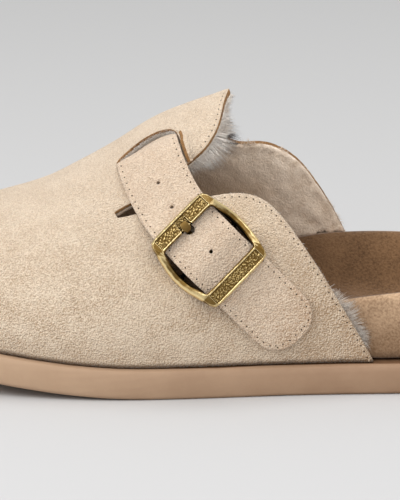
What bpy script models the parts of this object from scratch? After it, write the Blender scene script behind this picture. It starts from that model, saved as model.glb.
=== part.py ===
# A left clog slipper: suede upper with a cut collar, a strap that comes out of a slot in the
# instep and runs through a brass buckle, a suede covered footbed and a rubber outsole.
# Metres, +Z up. The toe points to -X, the outer (lateral) side of the foot is -Y.

import math
from functools import lru_cache

import bmesh
import bpy
from mathutils import Vector
from mathutils.bvhtree import BVHTree
from mathutils.geometry import delaunay_2d_cdt
from mathutils.interpolate import poly_3d_calc

# Driving sizes of the last and the sole
sole_length = 0.262
ball_width = 0.104
heel_width = 0.074
sole_thickness = 0.0113
toe_spring = 0.0140
toe_spring_start = 0.40
toe_spring_curve = 1.7
toe_height = 0.0650
instep_height = 0.1046
ridge_inset = 0.0060

# The pattern's unit across the upper: about the length from the ridge down to the sole.
half_girth = 0.28 * ball_width + 0.584 * instep_height

# Clearances and walls
fit_gap = 0.0003
ledge = 0.0025
upper_wall = 0.0020
toe_bulge = 0.0030
side_bulge = 0.0026

# The outline of the sole, from the toe tip to the heel tip. along is a share of sole_length,
# heel says how far the row follows heel_width and not ball_width, and lateral and medial are
# shares of that width.
OUTLINE = (
    # along, heel, lateral, medial
    (0.000, 0.00, 0.110, 0.110),
    (0.014, 0.00, -0.080, 0.270),
    (0.055, 0.00, -0.240, 0.390),
    (0.125, 0.00, -0.352, 0.465),
    (0.225, 0.00, -0.418, 0.500),
    (0.335, 0.00, -0.450, 0.494),
    (0.450, 0.15, -0.450, 0.462),
    (0.573, 0.50, -0.455, 0.456),
    (0.695, 0.85, -0.482, 0.484),
    (0.810, 1.00, -0.500, 0.505),
    (0.910, 1.00, -0.448, 0.455),
    (0.973, 1.00, -0.275, 0.285),
    (1.000, 1.00, 0.000, 0.000),
)

# The ridge of the last over the toes and the instep. height goes from 0 at toe_height to 1 at
# instep_height, aside is a share of ridge_inset, towards the medial side, and lateral and
# medial are the fullness of the wall on each side: 2 is an ellipse, less is a slacker curve.
RIDGE = (
    # along, height, aside, lateral, medial
    (0.185, 0.00, 0.9, 2.20, 2.15),
    (0.250, 0.13, 1.0, 2.20, 2.10),
    (0.300, 0.30, 1.0, 2.15, 2.05),
    (0.350, 0.49, 1.0, 2.10, 2.00),
    (0.400, 0.71, 1.0, 2.05, 1.95),
    (0.450, 0.86, 0.9, 2.00, 1.92),
    (0.510, 1.00, 0.8, 1.95, 1.90),
    (0.570, 1.16, 0.6, 1.92, 1.90),
    (0.650, 1.34, 0.4, 1.90, 1.90),
    (0.740, 1.45, 0.2, 1.90, 1.90),
)
toe_fullness = 2.25

# The collar, all round the opening, from the lateral edge of the sole to the medial one. along
# is a share of sole_length, and turn runs from -1 at the lateral sole edge over 0 at the ridge
# to 1 at the medial sole edge.
COLLAR = (
    # along, turn
    (0.711, -1.000),
    (0.699, -0.950),
    (0.683, -0.888),
    (0.659, -0.800),
    (0.635, -0.712),
    (0.610, -0.625),
    (0.586, -0.546),
    (0.562, -0.484),
    (0.535, -0.449),
    (0.500, -0.438),
    (0.440, -0.452),
    (0.382, -0.454),
    (0.357, -0.449),
    (0.349, -0.432),
    (0.356, -0.417),
    (0.376, -0.408),
    (0.415, -0.372),
    (0.450, -0.320),
    (0.477, -0.270),
    (0.491, -0.217),
    (0.498, -0.165),
    (0.503, -0.090),
    (0.509, -0.030),
    (0.511, 0.005),
    (0.506, 0.060),
    (0.499, 0.150),
    (0.500, 0.240),
    (0.513, 0.322),
    (0.534, 0.345),
    (0.560, 0.358),
    (0.582, 0.388),
    (0.607, 0.440),
    (0.634, 0.530),
    (0.658, 0.625),
    (0.682, 0.738),
    (0.700, 0.862),
    (0.713, 1.000),
)

# The middle line of the strap on the upper, from inside the slot to the tip.
STRAP_RUN = (
    # along, turn
    (0.375, -0.040),
    (0.385, -0.120),
    (0.394, -0.198),
    (0.404, -0.305),
    (0.420, -0.413),
    (0.442, -0.508),
    (0.477, -0.612),
    (0.523, -0.716),
    (0.568, -0.821),
    (0.592, -0.877),
    (0.622, -0.948),
)
strap_width = 0.0240
strap_thick = 0.0020
buckle_at = 0.0492
slot_rise = 0.0053
slot_depth = 0.0052
slot_side = 0.0004

# The height of the strap's underside over the upper, all in mm: run is counted from the slot.
# Inside the slot it lies under the upper's wall, over the buckle's bar it is humped.
STRAP_HEIGHT = (
    # run, height
    (-4.8, -4.35),
    (-3.6, -4.10),
    (-1.8, -3.10),
    (0.0, -1.90),
    (2.0, -0.60),
    (4.2, 0.22),
    (6.5, 0.35),
    (26.5, 0.35),
    (32.0, 1.60),
    (36.0, 2.25),
    (40.0, 2.45),
    (43.2, 3.15),
    (46.2, 4.20),
    (49.2, 4.38),
    (52.2, 4.20),
    (55.2, 3.15),
    (58.2, 2.45),
    (64.5, 2.40),
    (68.0, 1.80),
    (72.5, 0.75),
    (77.0, 0.35),
    (98.0, 0.35),
)

# The strap's half width where it isn't full: at its inner end and at its rounded tip, in mm.
STRAP_ENDS = (
    # run, half
    (-4.8, 5.0),
    (-3.8, 7.2),
    (-2.4, 9.6),
    (-1.2, 11.0),
    (0.0, 11.9),
    (1.0, 12.0),
    (84.5, 12.0),
    (87.5, 11.7),
    (90.2, 10.7),
    (92.4, 9.0),
    (93.9, 6.8),
    (94.8, 4.0),
)
strap_holes = (0.0186, 0.0292, 0.0502)
hole_width = 0.0013
prong_hole_at = 0.0397
prong_hole_width = 0.0036

# One quarter of the buckle's frame, in mm from the middle of the centre bar: run along the
# strap and across it, of its outer and its inner edge, and the heights of its two faces. notch
# is how far the inner edge dips under the prong, on the side that holds the prong's tip.
FRAME = (
    # run, across, inner_run, inner_across, low, high, notch
    (16.8, 0.0, 10.7, 0.0, 4.75, 7.3, 1.1),
    (16.8, 1.9, 10.7, 1.9, 4.75, 7.3, 1.1),
    (16.8, 2.6, 10.7, 2.6, 4.75, 7.3, 0.0),
    (16.8, 6.5, 10.7, 6.5, 4.75, 7.3, 0.0),
    (16.7, 11.0, 10.7, 10.6, 4.75, 7.3, 0.0),
    (16.2, 12.9, 10.5, 12.0, 4.75, 7.3, 0.0),
    (14.8, 14.0, 9.8, 12.5, 4.70, 7.2, 0.0),
    (11.8, 14.7, 8.6, 12.8, 4.50, 6.9, 0.0),
    (7.8, 15.6, 6.7, 13.2, 3.20, 6.0, 0.0),
    (4.0, 16.3, 3.9, 13.7, 1.90, 4.9, 0.0),
    (0.0, 16.6, 0.0, 13.9, 1.10, 4.2, 0.0),
)
frame_chamfer = 0.0006
bar_height = 0.0023
bar_radius = 0.0007

# The prong's middle line from its eye round the bar to its tip, in mm from the bar's middle,
# half is half its thickness and wide half its width.
PRONG = (
    # run, height, half, wide
    (-1.25, 1.55, 0.36, 0.90),
    (-0.80, 1.05, 0.38, 0.90),
    (0.00, 0.80, 0.38, 0.90),
    (0.85, 1.08, 0.38, 0.90),
    (1.35, 1.80, 0.38, 0.90),
    (1.30, 2.70, 0.38, 0.90),
    (0.75, 3.38, 0.38, 0.90),
    (-0.20, 3.58, 0.40, 0.90),
    (-2.60, 3.30, 0.42, 0.95),
    (-4.60, 2.50, 0.42, 0.95),
    (-6.60, 1.80, 0.42, 0.95),
    (-8.40, 1.55, 0.42, 0.95),
    (-9.40, 1.95, 0.42, 0.90),
    (-9.85, 3.10, 0.42, 0.90),
    (-9.92, 5.00, 0.42, 0.90),
    (-10.15, 6.30, 0.46, 1.20),
    (-10.90, 7.09, 0.50, 1.50),
    (-12.20, 7.40, 0.50, 1.60),
    (-13.00, 7.50, 0.46, 1.45),
    (-13.60, 7.52, 0.30, 1.00),
)

# The tab that holds the bar, as a folded strip seen from its side, in mm from the bar.
TAB = (
    # run, height
    (14.0, 0.70),
    (4.5, 0.68),
    (1.6, 0.66),
    (0.2, 0.72),
    (-1.00, 1.12),
    (-1.52, 2.00),
    (-1.20, 3.10),
    (-0.20, 3.62),
    (1.10, 3.55),
    (3.2, 2.55),
    (5.2, 1.75),
    (13.0, 1.70),
)
tab_thick = 0.00072
tab_width = 0.0190
tab_slot = 0.0027

# The footbed, in mm over its underside: floor is the height under the foot in the middle, and
# lateral and medial the height of its rim.
FOOTBED = (
    # along, floor, lateral, medial
    (0.00, 6.0, 8.5, 8.5),
    (0.20, 6.0, 8.5, 9.0),
    (0.33, 6.5, 8.5, 10.0),
    (0.42, 8.0, 9.5, 14.0),
    (0.52, 11.0, 14.0, 23.0),
    (0.62, 12.5, 20.5, 31.8),
    (0.70, 12.0, 24.5, 34.0),
    (0.78, 10.5, 25.5, 33.0),
    (0.88, 9.5, 26.0, 29.7),
    (0.95, 9.5, 26.5, 27.5),
    (1.00, 9.5, 27.0, 27.0),
)
footbed_side_gap = 0.0008
footbed_wall = 0.013
footbed_rim = 0.0030

# Grooves across the underside of the outsole: middle as a share of sole_length, with the
# groove's share of the sole's width.
GROOVES = (
    # along, share
    (0.130, 0.66),
    (0.180, 0.72),
    (0.230, 0.76),
    (0.280, 0.78),
    (0.330, 0.78),
    (0.380, 0.76),
    (0.760, 0.72),
    (0.810, 0.74),
    (0.860, 0.72),
    (0.910, 0.62),
)
groove_width = 0.0040
groove_depth = 0.0020
mesh_spacing = 0.0056
edge_spacing = 0.0033
line_step = 0.001
ray_start = 0.015


def smooth_value(rows, column, at):
    # A smooth curve through one column of a table, read at a value of its first column.
    if at <= rows[0][0]:
        return rows[0][column]
    if at >= rows[-1][0]:
        return rows[-1][column]
    i = max(k for k, row in enumerate(rows) if row[0] <= at)

    def slope(k):
        low, high = max(k - 1, 0), min(k + 1, len(rows) - 1)
        return (rows[high][column] - rows[low][column]) / (rows[high][0] - rows[low][0])

    (x0, y0), (x1, y1) = ((rows[k][0], rows[k][column]) for k in (i, i + 1))
    step = x1 - x0
    t = (at - x0) / step
    return (
        (2 * t**3 - 3 * t**2 + 1) * y0
        + (t**3 - 2 * t**2 + t) * step * slope(i)
        + (3 * t**2 - 2 * t**3) * y1
        + (t**3 - t**2) * step * slope(i + 1)
    )


def closed_spline(points, steps):
    # A smooth closed line through the points, with evenly rounded corners.
    line = []
    count = len(points)
    for i in range(count):
        p = [points[(i + k - 1) % count] for k in range(4)]
        t = [0.0]
        for k in range(3):
            t.append(t[-1] + math.sqrt((p[k + 1] - p[k]).length))
        for step in range(steps):
            at = t[1] + (t[2] - t[1]) * step / steps
            a = [p[k].lerp(p[k + 1], (at - t[k]) / (t[k + 1] - t[k])) for k in range(3)]
            b = [a[k].lerp(a[k + 1], (at - t[k]) / (t[k + 2] - t[k])) for k in range(2)]
            line.append(b[0].lerp(b[1], (at - t[1]) / (t[2] - t[1])))
    return line


def x_at(along):
    return (along - 0.5) * sole_length


def along_at(x):
    return x / sole_length + 0.5


def outline_points():
    lateral, medial = [], []
    for along, heel, low, high in OUTLINE:
        width = ball_width + (heel_width - ball_width) * heel
        lateral.append(Vector((x_at(along), low * width)))
        medial.append(Vector((x_at(along), high * width)))
    points = closed_spline(lateral + medial[-2:0:-1], 12)
    middle = (max(p.y for p in points) + min(p.y for p in points)) / 2
    return [p - Vector((0, middle)) for p in points]


@lru_cache(maxsize=None)
def edge_line(inset):
    # The sole's outline, moved inwards.
    points = outline_points()
    moved = []
    for i, p in enumerate(points):
        run = points[(i + 1) % len(points)] - points[i - 1]
        moved.append(p + Vector((-run.y, run.x)).normalized() * inset)
    return moved


def reach_to_edge(start, way, inset):
    # How far it is from a point inside to the outline, along a direction.
    points = edge_line(inset)
    best = 0.0
    for i, p in enumerate(points):
        q = points[i - 1]
        side_p = way.x * (p.y - start.y) - way.y * (p.x - start.x)
        side_q = way.x * (q.y - start.y) - way.y * (q.x - start.x)
        if side_p * side_q > 0 or side_p == side_q:
            continue
        hit = p.lerp(q, side_p / (side_p - side_q)) - start
        best = max(best, hit.dot(way))
    return best


def lift(x):
    # The height of the sole's underside over the floor: the toe spring.
    share = max(0.0, 1 - along_at(x) / toe_spring_start)
    return toe_spring * share**toe_spring_curve


def sole_top(x):
    return lift(x) + sole_thickness


def ridge_point(x):
    along = along_at(x)
    rise = (instep_height - toe_height) * smooth_value(RIDGE, 1, along)
    return Vector((x, ridge_inset * smooth_value(RIDGE, 2, along), toe_height + rise))


def fullness(x, angle):
    # angle 0 faces the lateral side, a quarter turn the toe and a half turn the medial side.
    side = smooth_value(RIDGE, 3 if angle < math.pi / 2 else 4, along_at(x))
    toe_share = math.sin(angle) ** 2
    return side * (1 - toe_share) + toe_fullness * toe_share


@lru_cache(maxsize=None)
def rib(x, angle):
    # The outer line of the upper in one upright plane, from the sole's edge to the ridge, as
    # points and the length from the edge to each.
    top = ridge_point(x)
    way = Vector((-math.sin(angle), -math.cos(angle)))
    reach = reach_to_edge(top.xy, way, ledge)
    foot = top.xy + way * reach
    base = sole_top(foot.x) + fit_gap
    slope = (ridge_point(x + 0.004).z - ridge_point(x).z) / 0.004
    tilt = slope * math.sin(angle) * reach
    power = 2 / fullness(x, angle)
    bulge = side_bulge + (toe_bulge - side_bulge) * math.sin(angle) ** 2
    points = []
    for i in range(41):
        phi = math.pi / 2 * i / 40
        inward = 1 - math.cos(phi) ** power
        upward = math.sin(phi) ** power
        puff = upward * (1 - upward) ** 3 / 0.10547
        flat = foot - way * (reach * inward - bulge * puff)
        points.append(
            Vector((*flat, base + (top.z - base - tilt) * upward + tilt * inward))
        )
    lengths = [0.0]
    for p, q in zip(points, points[1:]):
        lengths.append(lengths[-1] + (q - p).length)
    return points, lengths


def on_rib(x, angle, share):
    # share 0 is the sole's edge and 1 the ridge.
    points, lengths = rib(x, angle)
    at = min(max(share, 0.0), 1.0) * lengths[-1]
    i = max(k for k, length in enumerate(lengths[:-1]) if length <= at)
    return points[i].lerp(points[i + 1], (at - lengths[i]) / (lengths[i + 1] - lengths[i]))


def pattern_place(u, v):
    # The pattern lies flat: u runs back along the ridge from the toe's pole, v across it, and
    # the toe is a half disc in front of the pole.
    if u >= 0:
        return x_at(RIDGE[0][0]) + u, 0.0 if v < 0 else math.pi, 1 - abs(v) / half_girth
    return (
        x_at(RIDGE[0][0]),
        math.atan2(-u, -v),
        1 - math.hypot(u, v) / half_girth,
    )


def on_upper(u, v):
    return on_rib(*pattern_place(u, v))


def open_line(points, spacing):
    # A smooth, evenly spaced line through some points.
    first = points[0] * 2 - points[1]
    last = points[-1] * 2 - points[-2]
    line = closed_spline([first, *points, last], 16)
    return even_line([*line[16 : 16 * len(points)], points[-1]], spacing)


def even_line(points, spacing):
    lengths = [0.0]
    for p, q in zip(points, points[1:]):
        lengths.append(lengths[-1] + (q - p).length)
    count = max(1, round(lengths[-1] / spacing))
    line = []
    k = 0
    for i in range(count + 1):
        at = lengths[-1] * i / count
        while k < len(points) - 2 and lengths[k + 1] < at:
            k += 1
        share = (at - lengths[k]) / (lengths[k + 1] - lengths[k])
        line.append(points[k].lerp(points[k + 1], share))
    return line


def pattern_uv(along, turn):
    return Vector(((along - RIDGE[0][0]) * sole_length, turn * half_girth))


def inside(point, loop):
    hit = False
    for p, q in zip(loop, loop[1:] + loop[:1]):
        if (p.y > point.y) != (q.y > point.y):
            if point.x < p.x + (q.x - p.x) * (point.y - p.y) / (q.y - p.y):
                hit = not hit
    return hit


def distance_to(point, loop):
    best = 1.0
    for p, q in zip(loop, loop[1:] + loop[:1]):
        run = q - p
        share = max(0.0, min(1.0, (point - p).dot(run) / run.length_squared))
        best = min(best, (p + run * share - point).length)
    return best


def vertex_normals(points, faces):
    normals = [Vector() for _ in points]
    for face in faces:
        a, b, c = (points[k] for k in face[:3])
        turn = (b - a).cross(c - a)
        for k in face:
            normals[k] += turn
    return [n.normalized() for n in normals]


@lru_cache(maxsize=None)
def last_surface():
    # The whole outer surface of the last, uncut: its tree, triangles, normals and pattern.
    back = pattern_uv(RIDGE[-1][0], 0).x
    lines = [(back * (1 - i / 60), -1) for i in range(60)]
    lines += [(math.pi * i / 48, 0) for i in range(49)]
    lines += [(back * i / 60, 1) for i in range(1, 61)]
    points, places, faces = [], [], []
    for at, side in lines:
        for j in range(41):
            out = half_girth * (1 - j / 40)
            if side:
                place = Vector((at, side * max(out, 1e-9)))
            else:
                place = Vector((-max(out * math.sin(at), 1e-12), -out * math.cos(at)))
            places.append(place)
            points.append(on_upper(*place))
    for i in range(len(lines) - 1):
        for j in range(40):
            a, b = i * 41 + j, (i + 1) * 41 + j
            faces.append((a, b, b + 1))
            if j < 39 or lines[i][1] or lines[i + 1][1]:
                faces.append((a, b + 1, a + 1))
    normals = vertex_normals(points, faces)
    if normals[41 * 84 + 20].z < 0:
        faces = [face[::-1] for face in faces]
        normals = [-n for n in normals]
    return BVHTree.FromPolygons(points, faces), points, places, faces, normals


def on_last(start, way):
    # Where a ray meets the last: the point, the smooth normal and the place on the pattern.
    tree, points, places, faces, normals = last_surface()
    if way:
        hit = tree.ray_cast(start, way)
    else:
        hit = tree.find_nearest(start)
    face = faces[hit[2]]
    share = poly_3d_calc([points[k] for k in face], hit[0])
    normal = sum((normals[k] * w for k, w in zip(face, share)), Vector()).normalized()
    place = sum((places[k] * w for k, w in zip(face, share)), Vector((0, 0)))
    return hit[0], normal, place


@lru_cache(maxsize=None)
def strap_line():
    # Even points on the strap's middle line with their normals and directions; run 0 is where
    # the line passes its third row, at the slot.
    rows = [pattern_uv(*row) for row in STRAP_RUN]
    points = [on_upper(*p) for p in open_line(rows, line_step)]
    start = on_upper(*pattern_uv(*STRAP_RUN[2]))
    points = even_line(points, line_step)
    zero = min(range(len(points)), key=lambda k: (points[k] - start).length)
    frames = []
    for k, p in enumerate(points):
        low, high = max(k - 3, 0), min(k + 3, len(points) - 1)
        normal = on_last(p, None)[1]
        way = (points[high] - points[low]).normalized()
        way = (way - normal * way.dot(normal)).normalized()
        frames.append((p, normal, way))
    return frames, zero


@lru_cache(maxsize=None)
def strap_base(run, across):
    # A place on the last's surface in the strap's own lengths, with its normal and place.
    frames, zero = strap_line()
    at = min(max(run / line_step + zero, 0), len(frames) - 1.001)
    k = int(at)
    p, n, d = (a.lerp(b, at - k) for a, b in zip(frames[k], frames[k + 1]))
    start = p + n.cross(d) * across + n * ray_start
    return on_last(start, -n)


def on_strap(run, across, height):
    point, normal, _ = strap_base(run, across)
    return point + normal * height


def new_object(name, points, faces, material):
    mesh = bpy.data.meshes.new(name)
    mesh.from_pydata([tuple(p) for p in points], [], faces)
    obj = bpy.data.objects.new(name, mesh)
    bpy.context.scene.collection.objects.link(obj)
    obj.data.materials.append(material)
    shape = bmesh.new()
    shape.from_mesh(mesh)
    bmesh.ops.remove_doubles(shape, verts=shape.verts, dist=2e-6)
    bmesh.ops.recalc_face_normals(shape, faces=shape.faces)
    if shape.calc_volume(signed=True) < 0:
        bmesh.ops.reverse_faces(shape, faces=shape.faces)
    shape.to_mesh(mesh)
    shape.free()
    return obj


def new_material(name, color, roughness, metallic):
    material = bpy.data.materials.new(name)
    material.use_nodes = True
    shader = next(n for n in material.node_tree.nodes if n.type == "BSDF_PRINCIPLED")
    shader.inputs["Base Color"].default_value = (*color, 1)
    shader.inputs["Roughness"].default_value = roughness
    shader.inputs["Metallic"].default_value = metallic
    return material


def cut(obj, cutter, operation):
    # Subtracts or joins another object and removes it.
    modifier = obj.modifiers.new("cut", "BOOLEAN")
    modifier.operation = operation
    modifier.object = cutter
    modifier.solver = "EXACT"
    graph = bpy.context.evaluated_depsgraph_get()
    mesh = bpy.data.meshes.new_from_object(obj.evaluated_get(graph))
    obj.modifiers.clear()
    obj.data = mesh
    bpy.data.objects.remove(cutter)


def tube(name, rings, material, closed):
    # A body through rings of points; closed joins the last ring to the first.
    size = len(rings[0])
    faces = []
    pairs = list(zip(range(len(rings)), range(1, len(rings))))
    if closed:
        pairs.append((len(rings) - 1, 0))
    for a, b in pairs:
        for k in range(size):
            m = (k + 1) % size
            faces.append((a * size + k, a * size + m, b * size + m, b * size + k))
    if not closed:
        faces.append(tuple(range(size)))
        faces.append(tuple((len(rings) - 1) * size + k for k in reversed(range(size))))
    return new_object(name, [p for ring in rings for p in ring], faces, material)


def slot_loop():
    # The slot's edge on the pattern: the arc of its upper lip, its sides and its lower lip.
    half = strap_width / 2 + slot_side
    edge = []
    for i in range(13):
        angle = math.pi * i / 12
        edge.append((-slot_rise * math.sin(angle), -half * math.cos(angle)))
    edge += [(0.0022, half), (slot_depth - 0.001, half), (slot_depth, half - 0.001)]
    edge += [(slot_depth, half * k / 3) for k in (2, 1, 0, -1, -2)]
    edge += [(slot_depth, 0.001 - half), (slot_depth - 0.001, -half), (0.0022, -half)]
    return [strap_base(run, across)[2] for run, across in edge]


def upper_loop(spacing):
    collar = open_line([pattern_uv(*row) for row in COLLAR], spacing)
    loop = list(collar)
    back = collar[-1]
    count = round(back.x / 0.006)
    loop += [Vector((back.x * (1 - i / count), half_girth)) for i in range(1, count)]
    for i in range(49):
        angle = math.pi * (1 - i / 48)
        loop.append(Vector((-math.sin(angle), -math.cos(angle))) * half_girth)
    back = collar[0]
    count = round(back.x / 0.006)
    loop += [Vector((back.x * i / count, -half_girth)) for i in range(1, count)]
    return loop


def make_upper(material):
    loop = upper_loop(edge_spacing)
    slot = slot_loop()
    spacing = mesh_spacing
    inner = []
    reach = math.ceil(half_girth / spacing)
    for i in range(-2 * reach, 2 * reach):
        for j in range(-reach, reach):
            shift = 0.5 if i % 2 else 0.0
            p = Vector((i * spacing * 0.87, (j + shift) * spacing))
            if not inside(p, loop) or inside(p, slot):
                continue
            if min(distance_to(p, loop), distance_to(p, slot)) > 0.55 * spacing:
                inner.append(p)
    count = len(loop)
    edges = [(i, (i + 1) % count) for i in range(count)]
    edges += [(count + i, count + (i + 1) % len(slot)) for i in range(len(slot))]
    flat, _, faces, *_ = delaunay_2d_cdt(loop + slot + inner, edges, [], 0, 1e-7)
    kept = []
    for face in faces:
        middle = sum((flat[k] for k in face), Vector((0, 0))) / len(face)
        if inside(middle, loop) and not inside(middle, slot):
            kept.append(tuple(face))
    outer = []
    for p in flat:
        u, v = p
        outer.append(on_upper(0.0 if abs(u) < 1e-9 else u, v))
    normals = vertex_normals(outer, kept)
    if sum(n.z for n in normals) < 0:
        kept = [face[::-1] for face in kept]
        normals = [-n for n in normals]
    within = []
    for p, n, place in zip(outer, normals, flat):
        share = pattern_place(*place)[2]
        if share < 1e-4:
            n = Vector((n.x, n.y, 0)).normalized()
        within.append(p - n * upper_wall)
    total = len(outer)
    solid = list(kept) + [tuple(k + total for k in face[::-1]) for face in kept]
    used = {}
    for face in kept:
        for a, b in zip(face, face[1:] + face[:1]):
            used[(a, b)] = True
    for a, b in used:
        if (b, a) not in used:
            solid.append((b, a, a + total))
            solid.append((b, a + total, b + total))
    keep = sorted({k for face in solid for k in face})
    index = {k: i for i, k in enumerate(keep)}
    both = outer + within
    solid = [tuple(index[k] for k in face) for face in solid]
    return new_object("upper", [both[k] for k in keep], solid, material)


def strap_rows():
    runs = [row[0] for row in STRAP_ENDS if row[0] < 0.5]
    runs += [1.5, 3, 4.5, 6.5, 10, 14, 18, 22, 26, 29, 32, 35, 38, 40, 42, 44, 46, 47.5]
    runs += [49.2, 51, 52.5, 54, 56, 58, 61, 64, 66.5, 69, 72, 75, 78, 82]
    runs += [row[0] for row in STRAP_ENDS if row[0] > 80]
    return runs


def make_strap(material):
    shares = (-1, -0.93, -0.5, 0, 0.5, 0.93, 1)
    rings = []
    for run in strap_rows():
        half = smooth_value(STRAP_ENDS, 1, run) / 1000
        low = smooth_value(STRAP_HEIGHT, 1, run) / 1000
        top = low + strap_thick
        ring = [on_strap(run / 1000, half * share, low) for share in shares]
        edge = 0.0004
        for share in reversed(shares):
            drop = edge if abs(share) == 1 else 0
            ring.append(on_strap(run / 1000, half * share, top - drop))
        rings.append(ring)
    strap = tube("instep_strap", rings, material, False)
    for place in strap_holes:
        add_hole(strap, place, place, hole_width / 2, material)
    add_hole(strap, prong_hole_at, prong_hole_at, prong_hole_width / 2, material)
    return strap


def add_hole(strap, start, end, radius, material):
    # A round or long hole through the strap.
    low, high = (on_strap((start + end) / 2, 0, h) for h in (-0.002, 0.012))
    up = (high - low).normalized()
    way = on_strap(end + 0.002, 0, 0.003) - on_strap(start - 0.002, 0, 0.003)
    way = (way - up * way.dot(up)).normalized()
    side = up.cross(way)
    rings = []
    for middle in (low, high):
        ring = []
        for i in range(12):
            angle = 2 * math.pi * (i + 0.5) / 12
            reach = (end - start) / 2 if math.cos(angle) > 0 else (start - end) / 2
            ring.append(
                middle
                + way * (reach + radius * math.cos(angle))
                + side * radius * math.sin(angle)
            )
        rings.append(ring)
    cut(strap, tube("hole", rings, material, False), "DIFFERENCE")


def make_frame(material):
    stations = []
    for sr, sa, order in ((1, 1, 1), (-1, 1, -1), (-1, -1, 1), (1, -1, -1)):
        for row in FRAME[::order][:-1]:
            stations.append((sr, sa, row))
    rings = []
    for sr, sa, row in stations:
        run, across, inner_run, inner_across, low, high, notch = (v / 1000 for v in row)
        dip = notch if sr < 0 else 0.0
        out = Vector((sr * run, sa * across))
        inn = Vector((sr * inner_run, sa * inner_across))
        way = (inn - out).normalized()
        ring = []
        for at, height in (
            (out, low + frame_chamfer),
            (out, high - frame_chamfer),
            (out + way * frame_chamfer, high),
            (inn - way * frame_chamfer, high - dip),
            (inn, high - dip - frame_chamfer),
            (inn, low + frame_chamfer),
            (inn - way * frame_chamfer, low),
            (out + way * frame_chamfer, low),
        ):
            ring.append(buckle_point(at.x, at.y, height))
        rings.append(ring)
    frame = tube("buckle_frame", rings, material, True)
    bar = []
    low, high = (buckle_point(0, side * 0.0151, bar_height) for side in (-1, 1))
    up = strap_base(buckle_at, 0)[1]
    way = up.cross(high - low).normalized()
    for end in (low, high):
        ring = []
        for i in range(10):
            angle = 2 * math.pi * i / 10
            ring.append(end + (way * math.cos(angle) + up * math.sin(angle)) * bar_radius)
        bar.append(ring)
    cut(frame, tube("bar", bar, material, False), "UNION")
    return frame


def folded_strip(rows, half_of):
    # The two faces of a strip that runs along a line of (run, height), as pairs of points.
    line = [Vector((row[0] / 1000, row[1] / 1000)) for row in rows]
    pairs = []
    for k, p in enumerate(line):
        low, high = max(k - 1, 0), min(k + 1, len(line) - 1)
        way = (line[high] - line[low]).normalized()
        out = Vector((way.y, -way.x)) * half_of(k)
        pairs.append((p + out, p - out))
    return pairs


def buckle_point(run, across, height):
    # The small parts on the bar are built on the flat frame of its middle.
    point, normal, _ = strap_base(buckle_at, 0)
    side = on_strap(buckle_at, 0.010, 0) - on_strap(buckle_at, -0.010, 0)
    side = (side - normal * side.dot(normal)).normalized()
    way = side.cross(normal)
    if way.dot(strap_base(buckle_at + 0.01, 0)[0] - point) < 0:
        way = -way
    over = point + way * run + side * across + normal * ray_start
    drop = (on_last(over, -normal)[0] - point).dot(normal)
    return point + way * run + side * across + normal * (height + drop)


def make_prong(material):
    rings = []
    pairs = folded_strip(PRONG, lambda k: PRONG[k][2] / 1000)
    for (a, b), row in zip(pairs, PRONG):
        wide = row[3] / 1000
        ring = []
        for share, across in (
            (0.22, -1.0),
            (0.78, -1.0),
            (1.0, -0.6),
            (1.0, 0.6),
            (0.78, 1.0),
            (0.22, 1.0),
            (0.0, 0.6),
            (0.0, -0.6),
        ):
            p = a.lerp(b, share)
            ring.append(buckle_point(p.x, across * wide, p.y))
        rings.append(ring)
    return tube("buckle_prong", rings, material, False)


def make_tab(material):
    rings = []
    for a, b in folded_strip(TAB, lambda k: tab_thick / 2):
        ring = []
        for p, order in ((a, 1), (b, -1)):
            for across in (-0.5, -0.17, 0.17, 0.5)[::order]:
                ring.append(buckle_point(p.x, across * tab_width, p.y))
        rings.append(ring)
    tab = tube("buckle_tab", rings, material, False)
    slot = []
    for run in (-0.0035, 0.0036):
        ring = []
        for across, height in ((-1, -0.004), (1, -0.004), (1, 0.008), (-1, 0.008)):
            ring.append(buckle_point(0, across * tab_slot / 2, height) + tab_way() * run)
        slot.append(ring)
    cut(tab, tube("slot", slot, material, False), "DIFFERENCE")
    return tab


def tab_way():
    return (buckle_point(0.001, 0, 0.002) - buckle_point(-0.001, 0, 0.002)).normalized()


def slab(name, levels, low_height, top_height, material):
    # A solid in the sole's outline. levels are the rings of its side wall, from the bottom up,
    # as (inset, height); the two faces are grids of rows across the sole.
    shares = (0.035, 0.09, 0.17, 0.28, 0.40, 0.5, 0.60, 0.72, 0.83, 0.91, 0.965)
    line = edge_line(0)
    half = len(line) // 2
    picks = [0, 2, 5, 8, 12, 16, 20, 24, 30, 36, 42]
    picks += list(range(49, half - 46, 7))
    picks += [half - k for k in (42, 36, 30, 24, 20, 16, 12, 8, 5, 2, 0)]
    count = len(picks)
    ring = picks + [-i % len(line) for i in picks[-2:0:-1]]
    size = len(ring)
    points, faces = [], []
    for inset, height in levels:
        moved = edge_line(inset)
        points += [Vector((*moved[k], height(moved[k]))) for k in ring]
    for a in range(len(levels) - 1):
        for k in range(size):
            m = (k + 1) % size
            at = a * size
            faces.append((at + k, at + m, at + size + m, at + size + k))
    for start, inset, height in (
        (0, levels[0][0], low_height),
        ((len(levels) - 1) * size, levels[-1][0], top_height),
    ):
        moved = edge_line(inset)
        rows = [[start]]
        for k in range(1, count - 1):
            low, high = moved[picks[k]], moved[-picks[k] % len(line)]
            row = [start + k]
            for share in shares:
                p = low.lerp(high, share)
                row.append(len(points))
                points.append(Vector((*p, height(p))))
            row.append(start + size - k)
            rows.append(row)
        for row, after in zip(rows[1:], rows[2:]):
            for j in range(len(row) - 1):
                faces.append((row[j], row[j + 1], after[j + 1], after[j]))
        for tip, row in ((rows[0][0], rows[1]), (start + count - 1, rows[-1])):
            for j in range(len(row) - 1):
                faces.append((tip, row[j], row[j + 1]))
    return new_object(name, points, faces, material)


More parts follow.
